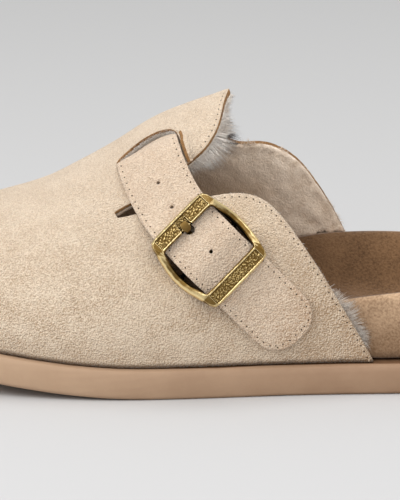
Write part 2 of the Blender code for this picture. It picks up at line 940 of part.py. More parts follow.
def make_outsole(material):
    def over(height):
        return lambda p: lift(p.x) + height

    def under(height):
        return lambda p: sole_top(p.x) - height

    levels = (
        (0.0016, over(0)),
        (0.0006, over(0.0009)),
        (0.0002, over(0.0030)),
        (0.0, over(0.0058)),
        (0.0002, under(0.0022)),
        (0.0008, under(0.0008)),
        (0.0021, under(0)),
    )
    outsole = slab("outsole", levels, over(0), under(0), material)
    for along, share in GROOVES:
        x = x_at(along)
        low, high = (reach_to_edge(Vector((x, 0)), Vector((0, side)), 0) for side in (-1, 1))
        middle, wide = (high - low) / 2, (high + low) * share
        deep = lift(x) + groove_depth
        rings = []
        for side in (-0.5, 0.5):
            ring = []
            for shift, z in ((-1, -0.002), (1, -0.002), (0.8, deep), (-0.8, deep)):
                at = x + shift * groove_width / 2
                ring.append(Vector((at, middle + side * wide, z)))
            rings.append(ring)
        cut(outsole, tube("groove", rings, material, False), "DIFFERENCE")
    return outsole


def footbed_height(p, inset):
    along = along_at(p.x)
    floor, lateral, medial = (smooth_value(FOOTBED, k, along) / 1000 for k in (1, 2, 3))
    side = min(max(0.5 + p.y / (0.8 * heel_width), 0.0), 1.0)
    rim = lateral + (medial - lateral) * side * side * (3 - 2 * side)
    away = distance_to(p, edge_line(inset)) if inset else 0.0
    share = min(max((away - 0.0012) / footbed_wall, 0.0), 1.0)
    dip = share * share * (3 - 2 * share)
    return sole_top(p.x) + fit_gap + rim + (floor - rim) * dip


def make_footbed(material):
    inset = ledge + upper_wall + footbed_side_gap

    def low(p):
        return sole_top(p.x) + fit_gap

    def rim(drop):
        return lambda p: footbed_height(p, 0) - drop

    levels = (
        (inset + 0.0008, low),
        (inset, lambda p: low(p) + 0.0008),
        (inset, rim(0.0022)),
        (inset + 0.0007, rim(0.0007)),
        (inset + footbed_rim * 0.7, rim(0)),
    )
    top_inset = levels[-1][0]
    return slab("footbed", levels, low, lambda p: footbed_height(p, top_inset), material)


def clear_scene():
    for obj in list(bpy.data.objects):
        bpy.data.objects.remove(obj)


def main():
    clear_scene()
    rubber = (0.42, 0.27, 0.17)
    make_outsole(new_material("outsole_rubber", rubber, 0.7, 0.0))
    make_footbed(new_material("footbed_suede", (0.20, 0.12, 0.07), 0.85, 0.0))
    make_upper(new_material("upper_suede", (0.76, 0.62, 0.46), 0.9, 0.0))
    make_strap(new_material("strap_suede", (0.72, 0.56, 0.43), 0.9, 0.0))
    make_frame(new_material("buckle_brass", (0.42, 0.30, 0.11), 0.35, 1.0))
    make_prong(new_material("prong_brass", (0.36, 0.25, 0.10), 0.4, 1.0))
    make_tab(new_material("tab_suede", (0.70, 0.55, 0.42), 0.9, 0.0))


if __name__ == "__main__":
    main()
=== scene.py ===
import math

import bpy
import numpy as np
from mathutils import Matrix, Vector
from mathutils import noise as bpyNoise
from mathutils.bvhtree import BVHTree
from mathutils.kdtree import KDTree


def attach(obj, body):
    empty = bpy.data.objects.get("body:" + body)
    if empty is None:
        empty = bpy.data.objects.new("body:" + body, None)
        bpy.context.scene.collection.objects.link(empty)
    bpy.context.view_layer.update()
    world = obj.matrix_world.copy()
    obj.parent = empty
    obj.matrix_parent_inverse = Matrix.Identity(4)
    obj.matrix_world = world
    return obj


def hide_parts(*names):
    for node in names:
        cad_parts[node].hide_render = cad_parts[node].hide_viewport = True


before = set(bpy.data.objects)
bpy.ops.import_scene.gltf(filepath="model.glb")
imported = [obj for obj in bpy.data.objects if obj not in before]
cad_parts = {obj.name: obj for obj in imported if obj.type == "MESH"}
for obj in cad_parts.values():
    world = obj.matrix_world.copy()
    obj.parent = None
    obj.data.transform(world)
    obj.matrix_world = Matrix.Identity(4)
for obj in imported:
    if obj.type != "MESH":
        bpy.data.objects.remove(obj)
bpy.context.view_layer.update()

firstSeed = 27
dice = np.random.default_rng(firstSeed)
bpyNoise.seed_set(firstSeed)


# Small helpers
def useOnly(piece):
    bpy.ops.object.select_all(action="DESELECT")
    piece.select_set(True)
    bpy.context.view_layer.objects.active = piece


def workingCopy(nodeName, pieceName):
    # a merged copy of a CAD node's mesh, which then stands for it
    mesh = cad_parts[nodeName].data.copy()
    mesh.materials.clear()
    piece = bpy.data.objects.new(pieceName, mesh)
    bpy.context.scene.collection.objects.link(piece)
    useOnly(piece)
    bpy.ops.object.mode_set(mode="EDIT")
    bpy.ops.mesh.select_all(action="SELECT")
    bpy.ops.mesh.remove_doubles(threshold=0.00001)
    bpy.ops.mesh.select_all(action="DESELECT")
    bpy.ops.object.mode_set(mode="OBJECT")
    return piece


def selectFaces(piece, chosen):
    # goes into edit mode with these faces selected and nothing else
    useOnly(piece)
    bpy.context.tool_settings.mesh_select_mode = (False, False, True)
    bpy.ops.object.mode_set(mode="EDIT")
    bpy.ops.mesh.select_all(action="DESELECT")
    bpy.ops.object.mode_set(mode="OBJECT")
    for k in chosen:
        piece.data.polygons[k].select = True
    bpy.ops.object.mode_set(mode="EDIT")


def zonesOf(piece, degrees):
    # the faces of a mesh in sets that are parted by its sharp edges, the largest area first
    left = set(range(len(piece.data.polygons)))
    chosen = np.zeros(len(left), bool)
    zones = []
    while left:
        selectFaces(piece, [min(left)])
        bpy.ops.mesh.faces_select_linked_flat(sharpness=math.radians(degrees))
        bpy.ops.object.mode_set(mode="OBJECT")
        faces = piece.data.polygons
        faces.foreach_get("select", chosen)
        zone = set(np.flatnonzero(chosen).tolist()) & left
        zones.append(sorted(zone))
        left -= zone
    zones.sort(key=lambda zone: -sum(faces[k].area for k in zone))
    return zones


def creaseSharp(piece, degrees, amount):
    useOnly(piece)
    bpy.ops.object.mode_set(mode="EDIT")
    bpy.ops.mesh.select_mode(type="EDGE")
    bpy.ops.mesh.select_all(action="DESELECT")
    bpy.ops.mesh.edges_select_sharp(sharpness=math.radians(degrees))
    bpy.ops.transform.edge_crease(value=amount)
    bpy.ops.object.mode_set(mode="OBJECT")


def subdivide(piece, levels):
    useOnly(piece)
    rounding = piece.modifiers.new("rounding", "SUBSURF")
    rounding.levels = rounding.render_levels = levels
    bpy.ops.object.modifier_apply(modifier=rounding.name)


def finished(piece, slotName, *replaced):
    useOnly(piece)
    bpy.ops.object.shade_smooth()
    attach(piece, "root")
    if replaced:
        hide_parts(*replaced)
    return piece


def pointsOf(piece):
    flat = np.zeros(len(piece.data.vertices) * 3)
    piece.data.vertices.foreach_get("co", flat)
    return flat.reshape(-1, 3)


def setFinishes(piece, *materials):
    for one in materials:
        piece.data.materials.append(one)


def setValues(piece, name, values):
    # an attribute of the piece's points, which its material reads
    layer = piece.data.attributes.new(name, "FLOAT", "POINT")
    layer.data.foreach_set("value", values)


def surfaceTree(mesh, faces=None):
    # a search tree of a mesh's faces, or of some of them
    faces = mesh.polygons if faces is None else faces
    return BVHTree.FromPolygons([tuple(v.co) for v in mesh.vertices],
                                [tuple(face.vertices) for face in faces])


def placeTree(numbered):
    # a search tree of places, each with the number that it gives back
    tree = KDTree(len(numbered))
    for number, place in numbered:
        tree.insert(place, number)
    tree.balance()
    return tree


def movePoints(piece, places):
    piece.data.vertices.foreach_set("co", places.reshape(-1))
    piece.data.update()


def normalsOf(piece):
    flat = np.zeros(len(piece.data.vertices) * 3)
    piece.data.vertex_normals.foreach_get("vector", flat)
    return flat.reshape(-1, 3)


def markRubbedAndHighlight(piece, reach, worn=0.0):
    # an attribute: 1 on outward edges and corners of the metal, 0 in hollows and on flats;
    # worn is what is added to it, for each point, which on the buckle is a painted highlight on the
    # bars' outward sides
    places, normals = pointsOf(piece), normalsOf(piece)
    ends = np.zeros(len(piece.data.edges) * 2, np.int64)
    piece.data.edges.foreach_get("vertices", ends)
    a, b = ends.reshape(-1, 2).T
    arm = places[b] - places[a]
    length = np.linalg.norm(arm, axis=1) + 1e-9
    bend = ((normals[b] - normals[a]) * arm).sum(axis=1) / length**2
    total, count = np.zeros(len(places)), np.zeros(len(places))
    for end in (a, b):
        np.add.at(total, end, bend)
        np.add.at(count, end, 1)
    setValues(piece, "rubbed_and_highlight", np.clip(total / np.maximum(count, 1) * reach + worn, 0, 1))


def meshPiece(name, points, faces, material):
    mesh = bpy.data.meshes.new(name)
    mesh.from_pydata(np.asarray(points).tolist(), [], faces)
    mesh.materials.append(material)
    piece = bpy.data.objects.new(name, mesh)
    bpy.context.scene.collection.objects.link(piece)
    return piece


def smooth(value, low, high):
    t = np.clip((value - low) / (high - low), 0, 1)
    return t * t * (3 - 2 * t)


# Shader maths
class Wire:
    # one socket of a material, so that sums on its values are written as sums
    def __init__(self, tree, socket=None):
        self.tree = tree
        self.socket = socket

    def node(self, kind, settings=None, sockets=None, out=0):
        made = self.tree.nodes.new("ShaderNode" + kind)
        for name, value in (settings or {}).items():
            setattr(made, name, value)
        for name, value in (sockets or {}).items():
            if isinstance(value, Wire):
                self.tree.links.new(value.socket, made.inputs[name])
            else:
                made.inputs[name].default_value = value
        return Wire(self.tree, made.outputs[out])

    def maths(self, operation, *values):
        return self.node("Math", {"operation": operation}, dict(enumerate(values)))

    def __add__(self, other):
        return self.maths("ADD", self, other)

    def __sub__(self, other):
        return self.maths("SUBTRACT", self, other)

    def __rsub__(self, other):
        return self.maths("SUBTRACT", other, self)

    def __mul__(self, other):
        return self.maths("MULTIPLY", self, other)

    __radd__ = __add__
    __rmul__ = __mul__

    def ramp(self, low, high):
        # 0 below low, 1 above high, smooth between
        return self.node("MapRange", {"interpolation_type": "SMOOTHSTEP"},
                         {"Value": self, "From Min": low, "From Max": high})

    def tint(self, low, high):
        # a colour between two, by this value
        low, high = (c if isinstance(c, Wire) else (*c, 1) for c in (low, high))
        return self.node("Mix", {"data_type": "RGBA"}, {0: self, 6: low, 7: high}, out=2)

    def noise(self, size, detail=2.0, rough=0.5, seed=0.0):
        # smooth noise from 0 to 1 with lumps of that size in metres
        moved = self.node("VectorMath", {"operation": "ADD"}, {0: self, 1: (seed, seed, seed)})
        return self.node("TexNoise", {}, {"Vector": moved, "Scale": 1 / size,
                                          "Detail": detail, "Roughness": rough})

    def cells(self, size, feature="F1", out=0):
        return self.node("TexVoronoi", {"feature": feature},
                         {"Vector": self, "Scale": 1 / size}, out=out)

    def bump(self, height, strength):
        return self.node("Bump", {}, {"Height": self, "Distance": height, "Strength": strength})

    def axis(self, number):
        # one of the three numbers of a place
        return self.node("SeparateXYZ", {}, {0: self}, out=number)


def linear(*tone):
    # an sRGB colour out of 255, as the shader wants it
    shares = [c / 255 for c in tone]
    return tuple(s / 12.92 if s < 0.0404 else ((s + 0.055) / 1.055)**2.4 for s in shares)


def material(name, **fixed):
    # a new material: its shader's sockets set, its tree as a wire, and a way to join a wire on
    made = bpy.data.materials.new(name)
    made.use_nodes = True
    tree = made.node_tree
    shader = next(n for n in tree.nodes if n.type == "BSDF_PRINCIPLED")
    for socket, value in fixed.items():
        shader.inputs[socket.replace("_", " ")].default_value = value
    coords = Wire(tree).node("TexCoord", out=3)

    def join(**wires):
        for socket, wire in wires.items():
            tree.links.new(wire.socket, shader.inputs[socket.replace("_", " ")])
        return made

    return coords, join


# Suede and the other finishes
suedeLook = {
    "tone": linear(250, 230, 205), "shade": linear(185, 151, 116), "grain": 0.00058,
    "grainDepth": 0.0014, "mottle": 0.011, "soleShade": linear(88, 58, 20),
    # the shift towards the key light, for the painted emboss shade on the grains
    "napAndReliefShade": (-0.0002, -0.0001, 0.00027),
}


def suedeMaterial(name, tone, shade, mottleSeed):
    coords, join = material(name, Roughness=0.93, Sheen_Weight=0.35, Sheen_Roughness=0.5,
                            Sheen_Tint=(1.0, 0.96, 0.90, 1), Specular_IOR_Level=0.2)
    grain = coords.noise(suedeLook["grain"], detail=2.0, rough=0.6, seed=mottleSeed)
    crumbs = coords.cells(suedeLook["grain"] * 1.3)
    patches = coords.noise(suedeLook["mottle"], detail=3.0, rough=0.6, seed=mottleSeed + 3)
    specks = coords.noise(suedeLook["grain"] * 0.5, detail=1.0, seed=mottleSeed + 7)
    # painted emboss shade: each grain is lighter on the side towards the key light and darker on
    # the other
    aside = coords.node("VectorMath", {"operation": "ADD"}, {0: coords, 1: suedeLook["napAndReliefShade"]})
    reliefShade = grain - aside.noise(suedeLook["grain"], detail=2.0, rough=0.6, seed=mottleSeed)
    depth = reliefShade.ramp(-0.14, 0.14) * 0.5 + specks.ramp(0.35, 0.62) * 0.25
    depth = depth + patches.ramp(0.25, 0.75) * 0.25
    # painted shade: darker low down, partly as shade and partly as dirt, and darker towards the
    # heel, away from the key light; both also get more grain contrast, painted as raking light
    low = coords.axis(2).ramp(0.075, 0.012)
    heelShade = coords.axis(0).ramp(0.005, 0.055)
    even = 0.68 - low * 0.04 - heelShade * 0.40
    colour = ((depth - 0.5) * (low * 1.15 + heelShade * 0.5 + 0.6) + even).tint(shade, tone)
    # painted shade: the shadow line over the sole and the shadow in the gaps beside the buckle
    paintedShade = coords.node("Attribute", {"attribute_name": "painted_shade"}, out=2)
    colour = (paintedShade * (0.7 + patches * 0.5)).ramp(0.0, 1.0).tint(
        colour, suedeLook["soleShade"])
    height = grain + crumbs * 0.35 + specks * 0.2
    return join(Base_Color=colour, Normal=height.bump(suedeLook["grainDepth"], 1.0))


def edgeMaterial(name, low, high):
    coords, join = material(name, Roughness=0.85, Specular_IOR_Level=0.25)
    fibre = coords.noise(0.0005, detail=3.0, rough=0.6)
    patches = coords.noise(0.006, detail=2.0)
    colour = (fibre * 0.6 + patches * 0.4).ramp(0.3, 0.7).tint(low, high)
    return join(Base_Color=colour, Normal=fibre.bump(0.0002, 0.8))


# where the flap's fringe meets the inner side's edge, as the camera sees it
darkTuft = {"x": 0.0048, "z": 0.0866, "slope": 0.25, "wide": 0.0028, "tall": 0.0015}


def furMaterial(name, low, light, lumps):
    coords, join = material(name, Roughness=0.9, Sheen_Weight=0.4, Sheen_Roughness=0.6,
                            Specular_IOR_Level=0.2)
    patches = coords.noise(lumps, detail=4.0, rough=0.65)
    fine = coords.noise(0.0007, detail=3.0, rough=0.6)
    # darker low down near the instep, partly painted shade from the outer quarter and partly dirt,
    # and warmer along the inner side, a painted warm bounce light
    across, deep, high = (coords.axis(k) for k in range(3))
    lower = high.ramp(0.08, 0.056)
    ahead = across.ramp(0.032, 0.0) * 0.75 + 0.25
    inside = deep.ramp(0.010, 0.020)
    colour = ((patches * 0.6 + fine * 0.4).ramp(0.12, 0.62) * (1 - lower * ahead * 0.85)).tint(
        low, inside.tint(light, linear(244, 226, 206)))
    aside = (across - darkTuft["x"]) * (1 / darkTuft["wide"])
    over = (high + deep * darkTuft["slope"] - darkTuft["z"]) * (1 / darkTuft["tall"])
    dark = (aside * aside + over * over).ramp(1.5, 0.6) * fine.ramp(0.2, 0.45)
    colour = dark.tint(colour, linear(58, 41, 26))
    return join(Base_Color=colour, Normal=(fine + patches).bump(0.0006, 0.8))


suede = suedeMaterial("suede", suedeLook["tone"], suedeLook["shade"], 0.0)
strapSuede = suedeMaterial("strap_suede", linear(252, 230, 205), linear(190, 152, 117), 5.0)
rawEdge = edgeMaterial("raw_edge", linear(104, 72, 42), linear(166, 126, 82))
# near black painted shade for sides that lie in shadow: the strap's and tab's in the buckle's
# window and the flap lip's under its cut edge
paintedShadeEdge = edgeMaterial("shaded_edge", linear(30, 20, 11), linear(62, 44, 28))
backing = furMaterial("backing", linear(150, 132, 112), linear(196, 182, 164), 0.004)
pile = furMaterial("shearling_pile", linear(176, 143, 108), linear(250, 239, 224), 0.005)
hair = furMaterial("shearling_hair", linear(188, 162, 134), linear(240, 233, 225), 0.005)


def footbedMaterial(name, low, high, downwardDarkening=0.0):
    # its last number sets how much darker it gets from its rim down to the sole; both get darker in
    # front, a painted shadow
    coords, join = material(name, Roughness=0.9, Sheen_Weight=0.25, Specular_IOR_Level=0.2)
    napAndReliefShade = coords.noise(0.0009, detail=3.0, rough=0.62)
    worn = coords.noise(0.012, detail=4.0, rough=0.6)
    lightness = coords.axis(2).ramp(0.008, 0.038) * downwardDarkening + (1 - downwardDarkening)
    lightness = lightness * (coords.axis(0).ramp(0.03, 0.075) * 0.5 + 0.5)
    return join(Base_Color=((napAndReliefShade * 0.6 + worn * 0.4).ramp(0.2, 0.7) * lightness).tint(low, high),
                Normal=(napAndReliefShade + worn * 0.4).bump(0.0004, 1.0))


# the dish's top is darker than the outer side, partly its own colour and partly painted shade, as
# the dish lies in shade
footbedSuede = footbedMaterial("footbed_suede", linear(74, 50, 29), linear(138, 104, 72))
sideSuede = footbedMaterial("footbed_side", linear(104, 74, 46), linear(218, 184, 150), 0.7)

coords, join = material("outsole_rubber", Roughness=0.62, Specular_IOR_Level=0.35)
skin = coords.noise(0.0014, detail=3.0)
dust = coords.noise(0.02, detail=4.0, rough=0.6)
# painted light: lighter towards the toe, nearer the key light
litTowardsToe = coords.axis(0).ramp(0.10, -0.11)
outsoleRubber = join(
    Base_Color=(dust.ramp(0.2, 0.8) * 0.3 + litTowardsToe * 0.7).tint(
        linear(146, 114, 88), linear(190, 160, 132)),
    Normal=skin.bump(0.00006, 0.6),
)

# painted shade: the sole's top ledge under the upper is darker
coords, join = material("outsole_ledge_shade", Roughness=0.8, Specular_IOR_Level=0.2)
ledgeShade = join(Base_Color=coords.noise(0.003).tint(linear(96, 68, 46), linear(128, 96, 70)))


def brassMaterial(name, deep, bright, pits, stainSize, shine):
    # dark where the metal is hollow or flat and bright on the edges that hands have polished; on
    # the buckle also bright on the bars' outward sides, a painted highlight
    coords, join = material(name, Metallic=1.0)
    stain = coords.noise(stainSize, detail=3.0, rough=0.6)
    scratch = coords.noise(0.0004, detail=3.0, rough=0.6)
    rubbed_and_highlight = coords.node("Attribute", {"attribute_name": "rubbed_and_highlight"}, out=2)
    worn = (rubbed_and_highlight * 0.8 + stain * 0.25 + scratch * 0.2 - 0.2).ramp(0.08, 0.65)
    return join(Base_Color=worn.tint(deep, bright), Roughness=shine + 0.16 - worn * 0.16,
                Normal=(scratch + stain * 0.5).bump(pits, 0.6))


brass = brassMaterial("brass", linear(112, 86, 42), linear(252, 228, 170), 0.00003, 0.004, 0.22)
darkBrass = brassMaterial("brass_recess", linear(98, 75, 37), linear(232, 204, 140), 0.00008,
                          0.0006, 0.38)
# near black painted shade, for the walls that face the buckle's window and for the centre bar
shadedBrass = brassMaterial("brass_inner_shade", linear(16, 12, 7), linear(44, 33, 18), 0.0001, 0.003, 0.6)
prongBrass = brassMaterial("brass_prong", linear(124, 98, 54), linear(240, 212, 150), 0.0001, 0.001,
                           0.35)

coords, join = material("thread", Roughness=0.8, Specular_IOR_Level=0.3)
ply = coords.noise(0.0003, detail=2.0)
thread = join(Base_Color=ply.ramp(0.3, 0.7).tint(linear(196, 172, 146), linear(222, 201, 176)),
              Normal=ply.bump(0.0001, 0.6))
# painted shade: each needle hole is a flat dark disc
coords, join = material("needle_hole", Roughness=1.0, Specular_IOR_Level=0.05)
needleHole = join(Base_Color=coords.noise(0.001).tint(linear(30, 20, 12), linear(66, 47, 30)))
print("finishes ready")


# Upper
upperShape = {"sharp": 40, "crease": 0.85, "levels": 2, "rawDepth": 0.0014, "wall": 0.0021,
              "soleLine": (0.0003, 0.0029)}

upper = workingCopy("upper", "suede_upper")
setFinishes(upper, suede, backing, rawEdge)
zones = zonesOf(upper, upperShape["sharp"])
index = np.full(len(upper.data.polygons), 2, np.int32)
index[zones[0]] = 0
index[zones[1]] = 1
upper.data.polygons.foreach_set("material_index", index)
creaseSharp(upper, upperShape["sharp"], upperShape["crease"])
subdivide(upper, upperShape["levels"])
lining = upper.copy()
lining.data = upper.data.copy()
lining.name = lining.data.name = "shearling_lining"
bpy.context.scene.collection.objects.link(lining)


def borderLoops(piece, zone):
    # the edge loops round the faces with one material number, each run so that they lie left
    edges = {}
    for face in piece.data.polygons:
        if face.material_index == zone:
            ring = list(face.vertices)
            edges.update(dict.fromkeys(zip(ring, ring[1:] + ring[:1])))
    follow = {a: b for a, b in edges if (b, a) not in edges}
    loops = []
    while follow:
        first = next(iter(follow))
        loop = [first]
        at = follow.pop(first)
        while at != first and at in follow:
            loop.append(at)
            at = follow.pop(at)
        loops.append(loop)
    return sorted(loops, key=len, reverse=True)


def zoneTree(piece, zone):
    # a tree of the faces with one material number, with each face's normal
    faces = [face for face in piece.data.polygons if face.material_index == zone]
    return surfaceTree(piece.data, faces), [face.normal.copy() for face in faces]


def insideLine(piece, loop, zone, inset):
    # the loop moved inwards over its surface, as (place, normal, direction) for each point
    tree, normals = zoneTree(piece, zone)
    spots = [piece.data.vertices[k].co.copy() for k in loop]
    line = []
    for k, spot in enumerate(spots):
        way = (spots[(k + 2) % len(spots)] - spots[k - 2]).normalized()
        normal = normals[tree.find_nearest(spot)[2]]
        inward = normal.cross(way).normalized()
        place, _, face, _ = tree.find_nearest(spot + inward * inset)
        line.append((place, normals[face], way))
    return line


def evenPlaces(line, pitch):
    # places along a line, one pitch apart
    places = [line[0]]
    gone = 0.0
    for before, after in zip(line, line[1:]):
        step = (after[0] - before[0]).length
        if step > 4 * pitch:
            gone = 0.0
            places.append(after)
            continue
        while gone + step >= pitch and step > 0:
            share = (pitch - gone) / step
            before = tuple(a.lerp(b, share) for a, b in zip(before, after))
            places.append(before)
            step = (after[0] - before[0]).length
            gone = 0.0
        gone += step
    return places


# the upper's edge: raw and brown on the outer skin, or turned over on the outer quarter
skinPoints = {k for face in upper.data.polygons if face.material_index == 0 for k in face.vertices}
skin = placeTree([(k, upper.data.vertices[k].co) for k in skinPoints])


def onOuterQuarter(place, normal):
    return place.y < 0 and place.z < 0.08 and normal.z > -0.05


edgeTone = []
for face in upper.data.polygons:
    tone = face.material_index
    if tone == 2:
        deep = upperShape["wall"] if face.center.y > 0 else upperShape["rawDepth"]
        if skin.find(face.center)[2] > deep:
            tone = 1
        elif onOuterQuarter(face.center, face.normal):
            tone = 3
    edgeTone.append(tone)
upperLoops = borderLoops(upper, 0)
upper.data.materials.append(suede)
print("upper shaped", len(upper.data.polygons), [len(loop) for loop in upperLoops])


# Stitches and needle holes
def template(name, add, shape):
    # the points and faces of a small form that is modelled once and then repeated
    bpy.ops.object.select_all(action="DESELECT")
    add()
    form = bpy.context.object
    form.name = name
    shape()
    bpy.ops.object.transform_apply(location=True, rotation=True, scale=True)
    points = pointsOf(form)
    faces = [tuple(face.vertices) for face in form.data.polygons]
    bpy.data.objects.remove(form)
    return points, faces


def repeated(name, form, places, lift, finish):
    # the form set on each (place, normal, direction), all in one mesh
    points, faces = form
    allPoints, allFaces = [], []
    for place, normal, way in places:
        normal = normal.normalized()
        way = (way - normal * way.dot(normal)).normalized()
        axes = np.array([way, normal.cross(way), normal])
        start = len(allPoints) * len(points)
        allPoints.append(points @ axes + np.array(place + normal * lift))
        allFaces += [tuple(k + start for k in face) for face in faces]
    return meshPiece(name, np.concatenate(allPoints), allFaces, finish)


stitchLook = {"length": 0.0016, "wide": 0.00044, "high": 0.00012, "hole": 0.00056,
              "holeLift": 0.00004, "pitch": 0.0026, "inset": 0.0013}


def shapeStitch():
    bpy.context.object.scale = (
        stitchLook["length"] / 2, stitchLook["wide"] / 2, stitchLook["high"] / 2)


def shapeHole():
    # a pierced spot with a drawn-in middle, dark with painted shade
    bpy.ops.object.mode_set(mode="EDIT")
    bpy.ops.mesh.select_all(action="SELECT")
    bpy.ops.mesh.inset(thickness=stitchLook["hole"] * 0.25, depth=stitchLook["hole"] * 0.03)
    bpy.ops.object.mode_set(mode="OBJECT")


stitchForm = template(
    "stitch", lambda: bpy.ops.mesh.primitive_uv_sphere_add(segments=8, ring_count=5, radius=1),
    shapeStitch)
holeForm = template(
    "needle_hole",
    lambda: bpy.ops.mesh.primitive_circle_add(vertices=8, radius=stitchLook["hole"] / 2,
                                              fill_type="NGON"),
    shapeHole)


def sewn(name, line, pitch, slotName):
    # a row of stitches with a needle hole between each two
    places = evenPlaces(line, pitch / 2)
    row = repeated(name, stitchForm, places[0::2], 0.0, thread)
    holes = repeated(name + "_holes", holeForm, places[1::2], stitchLook["holeLift"], needleHole)
    for piece in (row, holes):
        finished(piece, slotName)


def stretches(line, wanted):
    # the parts of a closed line whose points pass a test
    keep = [wanted(*spot) for spot in line]
    if all(keep):
        return [line + line[:1]]
    start = next(k for k in range(len(line)) if keep[k] and not keep[k - 1])
    turned = line[start:] + line[:start]
    kept = keep[start:] + keep[:start]
    parts, part = [], []
    for spot, good in zip(turned, kept):
        if good:
            part.append(spot)
        elif part:
            parts.append(part)
            part = []
    if part:
        parts.append(part)
    return parts


def outward(spot, normal, way):
    return -normal.cross(way)


collarLine = insideLine(upper, upperLoops[0], 0, stitchLook["inset"])
slotLine = insideLine(upper, upperLoops[1], 0, 0.0002)
quarterRows = stretches(collarLine, lambda p, n, w: p.y < 0 and p.x > -0.002
                        and outward(p, n, w).z > -0.05 and p.z < 0.075)
medialRows = stretches(collarLine, lambda p, n, w: p.y > 0 and p.x > 0.004 and p.z > 0.014)
flapRows = stretches(collarLine, lambda p, n, w: p.y < 0.003 and p.z > 0.084 and p.x > -0.014)
for title, rows in (("quarter", quarterRows), ("medial", medialRows), ("flap", flapRows)):
    longest = max(rows, key=len)
    print(title, "stitch line", len(rows), len(longest))
    sewn(title + "_stitches", longest, stitchLook["pitch"], "upper_suede")
skinTree, skinNormals = zoneTree(upper, 0)
upper.data.polygons.foreach_set("material_index", np.array(edgeTone, np.int32))


# The buckle's own directions, and its shape
buckleShape = {
    "middle": Vector((-0.00529, -0.03992, 0.05367)),
    "along": Vector((0.71521, -0.18367, -0.67434)),
    "across": Vector((0.69468, 0.2928, 0.65703)),
    "up": Vector((0.07677, -0.93837, 0.337)),
    "recessRun": (0.01145, 0.01605), "recessAcross": 0.0119, "rim": 0.0004,
    "endBars": 0.0107, "centreBar": 0.001, "sideBars": 0.0115, "sideBarsAcross": 0.0125,
    "overSkin": 0.0004, "recess": 0.00042, "cuts": 5, "levels": 2, "pits": 0.0002,
    "pitSize": 0.00075, "rubbed_and_highlight": 0.0004,
}
gapShade = {"under": (-0.015, 0.004), "run": (0.0095, 0.0135), "inner": (0.0095, 0.0115),
            "outer": (0.0135, 0.0155)}


def buckleFrame(place):
    # a place in the buckle's own directions: along the strap, across it and up
    arm = Vector(place) - buckleShape["middle"]
    return [arm.dot(buckleShape[name]) for name in ("along", "across", "up")]


def buckleShadow(place):
    # 1 on the upper below the gaps between the strap and the buckle's side bars
    run, across, high = buckleFrame(place)
    if not gapShade["under"][0] < high < gapShade["under"][1]:
        return 0.0
    inside = 1 - smooth(abs(run), *gapShade["run"])
    inside *= smooth(abs(across), *gapShade["inner"])
    return inside * (1 - smooth(abs(across), *gapShade["outer"]))


# painted shade: the dark line of shadow over the sole, and the shadow in the buckle's gaps
soleTree = surfaceTree(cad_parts["outsole"].data)
overSole = np.array([soleTree.find_nearest(Vector(p))[3] for p in pointsOf(upper)])
shaded = np.array([buckleShadow(p) for p in pointsOf(upper)])
setValues(upper, "painted_shade",
          np.maximum(1 - smooth(overSole, *upperShape["soleLine"]), shaded))
finished(upper, "upper_suede", "upper")


# Strap and tab
strapShape = {"sharp": 40, "crease": 0.6, "levels": 2, "inset": 0.0019, "pitch": 0.0029,
              "slot": 0.0905, "windowRun": 0.0125, "windowAcross": 0.0135}
tabShape = {"sharp": 40, "crease": 0.6, "levels": 2, "sides": 0.0082}

strap = workingCopy("instep_strap", "suede_strap")
for face in strap.data.polygons:
    skinNormal = skinNormals[skinTree.find_nearest(face.center)[2]]
    face.material_index = 0 if face.normal.dot(skinNormal) > 0.6 else 1
setFinishes(strap, strapSuede, strapSuede, paintedShadeEdge)
creaseSharp(strap, strapShape["sharp"], strapShape["crease"])
subdivide(strap, strapShape["levels"])
strapLine = insideLine(strap, borderLoops(strap, 0)[0], 0, strapShape["inset"])
strapRows = stretches(strapLine, lambda p, n, w: p.z < strapShape["slot"] and n.y < 0.2)
longest = max(strapRows, key=len)
print("strap stitch line", len(longest))
sewn("strap_stitches", longest, strapShape["pitch"], "strap_suede")
for face in strap.data.polygons:
    run, across, _ = buckleFrame(face.center)
    inWindow = abs(run) < strapShape["windowRun"] and abs(across) < strapShape["windowAcross"]
    # the strap's sides within the buckle's window get the painted shade
    if face.material_index == 1 and inWindow:
        face.material_index = 2
finished(strap, "strap_suede", "instep_strap")

tab = workingCopy("buckle_tab", "suede_tab")
setFinishes(tab, strapSuede, paintedShadeEdge)
for face in tab.data.polygons:
    run, across, _ = buckleFrame(face.center)
    # the tab's sides in the window's side gaps get the painted shade
    atSide = abs(run) < strapShape["windowRun"] and abs(across) > tabShape["sides"]
    face.material_index = 1 if atSide else 0
creaseSharp(tab, tabShape["sharp"], tabShape["crease"])
subdivide(tab, tabShape["levels"])
finished(tab, "tab_suede", "buckle_tab")
print("strap ready")


# The flap's edge along the strap: it lifts off the upper and lies over the strap's side
flapLip = {
    "line": ((-0.01754, -0.01453, 0.09339), (-0.01618, -0.01877, 0.09067),
             (-0.01512, -0.02199, 0.08801), (-0.01405, -0.02454, 0.08556),
             (-0.01330, -0.02600, 0.08400)),
    "parts": 5, "reach": 0.0085, "high": 0.0029, "gap": 0.00055, "cut": 0.0012,
    "wall": 0.0007, "sink": 0.0005, "farSink": 0.00015, "underSink": 0.0009,
    "sharp": 35, "crease": 0.5, "levels": 2,
}


